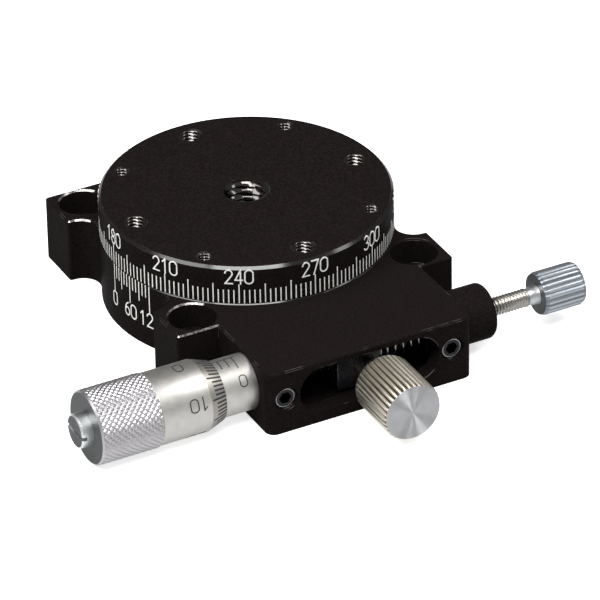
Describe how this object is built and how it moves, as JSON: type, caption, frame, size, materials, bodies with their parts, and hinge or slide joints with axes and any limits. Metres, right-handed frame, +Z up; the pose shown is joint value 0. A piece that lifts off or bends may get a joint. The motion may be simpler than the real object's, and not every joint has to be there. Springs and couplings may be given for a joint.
{
  "type": "manual rotary table",
  "caption": "Round graduated table on a ball bearing in a low black base, turned freely by hand or finely by a side micrometer, with a front clamp knob and a lock screw.",
  "frame": {"origin": "on the table's turning axis, at the underside of the base", "axes": "+Z up along the turning axis; +X from the micrometer towards the lock screw; -Y towards the clamp knob"},
  "size_m": [0.0718, 0.0631, 0.0146],
  "materials": {
    "black_anodised": "satin black anodised",
    "dark_lever": "satin black anodised",
    "steel": "ground and polished",
    "blackened_screws": "black oxide",
    "plated_screws": "bright plated",
    "brass": "turned",
    "satin_chrome": "satin chrome plated",
    "spring_steel": "drawn wire",
    "knob_metal": "turned and plated"
  },
  "bodies": {
    "base": {"base_body": "black_anodised", "bottom_plate": "black_anodised", "bottom_plate_screws": "blackened_screws", "pivot_post": "steel", "post_screws": "blackened_screws", "bearing_inner_ring": "steel", "micrometer_sleeve": "satin_chrome", "micrometer_nut": "brass", "micrometer_set_screw": "plated_screws", "spring_barrel": "black_anodised", "barrel_set_screw": "plated_screws", "return_spring": "spring_steel"},
    "lever": {"fine_lever": "dark_lever", "lever_anvil": "steel"},
    "table": {"rotary_table": "black_anodised", "bearing_outer_ring": "steel", "bearing_circlip": "blackened_screws"},
    "cage": {"bearing_balls": "steel", "bearing_cage": "brass"},
    "shoe": {"clamp_shoe": "brass"},
    "clamp": {"clamp_screw": "plated_screws", "clamp_knob": "knob_metal"},
    "feed": {"spindle_ball": "steel"},
    "spindle": {"micrometer_spindle": "steel", "thimble": "satin_chrome", "thimble_cap": "satin_chrome"},
    "lock_pad": {"lock_tip": "brass"},
    "lock": {"lock_screw": "plated_screws", "lock_knob": "knob_metal"}
  },
  "joints": [
    {"name": "fine_rotation", "type": "hinge", "parent": "base", "child": "lever", "pos_m": [0, 0, 0.0049], "axis": [0, 0, 1], "range_deg": [-5, 5], "deforming": ["return_spring"]},
    {"name": "table_rotation", "type": "hinge", "parent": "lever", "child": "table", "pos_m": [0, 0, 0.0118], "axis": [0, 0, 1], "continuous": true},
    {"name": "cage_rotation", "type": "hinge", "parent": "base", "child": "cage", "pos_m": [0, 0, 0.0057], "axis": [0, 0, 1], "continuous": true},
    {"name": "spindle_feed", "type": "slide", "parent": "base", "child": "feed", "axis": [1, 0, 0], "range_m": [-0.00235, 0.00235]},
    {"name": "thimble_spin", "type": "hinge", "parent": "feed", "child": "spindle", "pos_m": [0, -0.027, 0.0049], "axis": [1, 0, 0], "range_deg": [-1697, 1697]},
    {"name": "clamp_feed", "type": "slide", "parent": "lever", "child": "shoe", "axis": [0, -1, 0], "range_m": [0, 0.0006]},
    {"name": "clamp_spin", "type": "hinge", "parent": "shoe", "child": "clamp", "pos_m": [0.0008, -0.0355, 0.0049], "axis": [0, -1, 0], "range_deg": [0, 433]},
    {"name": "lock_feed", "type": "slide", "parent": "base", "child": "lock_pad", "axis": [1, 0, 0], "range_m": [-0.0006, 0.0012]},
    {"name": "lock_spin", "type": "hinge", "parent": "lock_pad", "child": "lock", "pos_m": [0, -0.027, 0.0049], "axis": [1, 0, 0], "range_deg": [-481, 962]}
  ],
  "couplings": [
    {"joint": "thimble_spin", "follows": "spindle_feed", "rad_per_m": 12566},
    {"joint": "fine_rotation", "follows": "spindle_feed", "rad_per_m": 37.037},
    {"joint": "cage_rotation", "follows": "table_rotation", "ratio": 0.5606},
    {"joint": "clamp_spin", "follows": "clamp_feed", "rad_per_m": 12566},
    {"joint": "lock_spin", "follows": "lock_feed", "rad_per_m": 13963}
  ]
}
